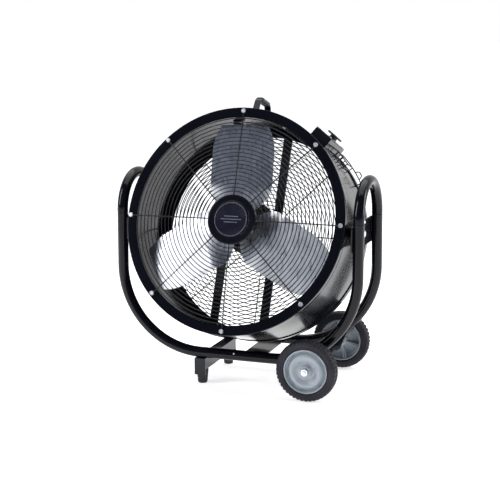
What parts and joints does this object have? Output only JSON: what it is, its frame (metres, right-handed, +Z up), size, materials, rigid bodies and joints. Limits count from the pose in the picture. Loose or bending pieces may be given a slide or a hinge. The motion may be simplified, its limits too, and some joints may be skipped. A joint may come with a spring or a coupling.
{
  "type": "axial air mover",
  "caption": "Round drum fan that tilts in a wheeled tubular cradle, with a wire guard at each end, a carrying handle, a control box and a cord rack.",
  "frame": {"origin": "on the floor, under the middle of the fan's overall width and depth; the drum's pivot line is 9 mm behind it", "axes": "+Z up; -Y the side the air leaves from; +X the wheel side, on the right of someone who faces the front guard"},
  "size_m": [0.7632, 0.4656, 0.8356],
  "materials": {
    "black_tube": "gloss powder coat",
    "black_sheet": "gloss powder coat",
    "black_wire": "gloss powder coat over steel wire",
    "zinc": "bright zinc plate",
    "axle_steel": "turned steel",
    "blade_aluminium": "satin sheet",
    "hub_aluminium": "satin casting",
    "foot_rubber": "matt moulding",
    "grip_rubber": "matt moulding",
    "tyre": "lugged tread",
    "wheel_grey": "fine matt",
    "bush_black": "smooth",
    "knob_black": "satin",
    "badge_blue": "gloss"
  },
  "bodies": {
    "stand": {"front_u_tube": "black_tube", "rear_u_tube": "black_tube", "left_hoop": "black_tube", "right_hoop": "black_tube", "left_front_hoop_screw": "zinc", "left_rear_hoop_screw": "zinc", "right_front_hoop_screw": "zinc", "right_rear_hoop_screw": "zinc", "left_pivot_plate": "black_sheet", "right_pivot_plate": "black_sheet", "foot_channel": "black_sheet", "front_foot": "foot_rubber", "rear_foot": "foot_rubber", "centre_brace": "black_sheet", "front_hanger": "black_sheet", "rear_hanger": "black_sheet", "axle_tube": "black_tube", "axle": "axle_steel", "front_axle_nut": "zinc", "rear_axle_nut": "zinc"},
    "drum": {"drum_shell": "black_sheet", "front_rim": "black_sheet", "rear_rim": "black_sheet", "front_guard_bolt_1": "zinc", "front_guard_bolt_2": "zinc", "front_guard_bolt_3": "zinc", "front_guard_bolt_4": "zinc", "front_guard_bolt_5": "zinc", "front_guard_bolt_6": "zinc", "front_guard_bolt_7": "zinc", "front_guard_bolt_8": "zinc", "front_guard": "black_wire", "rear_guard": "black_wire", "guard_disc": "black_sheet", "guard_badge": "badge_blue", "left_pivot_boss": "black_sheet", "right_pivot_boss": "black_sheet", "left_pivot_bolt": "zinc", "right_pivot_bolt": "zinc", "left_motor_bar": "black_sheet", "right_motor_bar": "black_sheet", "motor_housing": "black_sheet", "control_box": "black_sheet", "control_box_lid": "black_sheet", "handle_strap": "black_sheet", "handle_grip": "grip_rubber", "cord_rack": "black_wire"},
    "fan": {"motor_shaft": "axle_steel", "fan_hub": "hub_aluminium", "fan_blade_1": "blade_aluminium", "fan_blade_2": "blade_aluminium", "fan_blade_3": "blade_aluminium"},
    "knob": {"speed_knob": "knob_black"},
    "front_wheel": {"front_wheel_tyre": "tyre", "front_wheel_hub": "wheel_grey", "front_wheel_bush": "bush_black"},
    "rear_wheel": {"rear_wheel_tyre": "tyre", "rear_wheel_hub": "wheel_grey", "rear_wheel_bush": "bush_black"}
  },
  "joints": [
    {"name": "drum_tilt", "type": "hinge", "parent": "stand", "child": "drum", "pos_m": [0, 0.009, 0.4555], "axis": [-1, 0, 0], "range_deg": [-45, 72]},
    {"name": "fan_spin", "type": "hinge", "parent": "drum", "child": "fan", "pos_m": [0, 0.009, 0.4555], "axis": [0, -0.9521, 0.3057], "continuous": true},
    {"name": "speed_knob_turn", "type": "hinge", "parent": "drum", "child": "knob", "pos_m": [0.22337, 0.12465, 0.71756], "axis": [0.617, 0.2406, 0.7493], "range_deg": [-135, 135]},
    {"name": "front_wheel_spin", "type": "hinge", "parent": "stand", "child": "front_wheel", "pos_m": [0.2368, -0.1736, 0.0888], "axis": [0, 1, 0], "continuous": true},
    {"name": "rear_wheel_spin", "type": "hinge", "parent": "stand", "child": "rear_wheel", "pos_m": [0.2368, 0.1916, 0.0888], "axis": [0, 1, 0], "continuous": true}
  ]
}
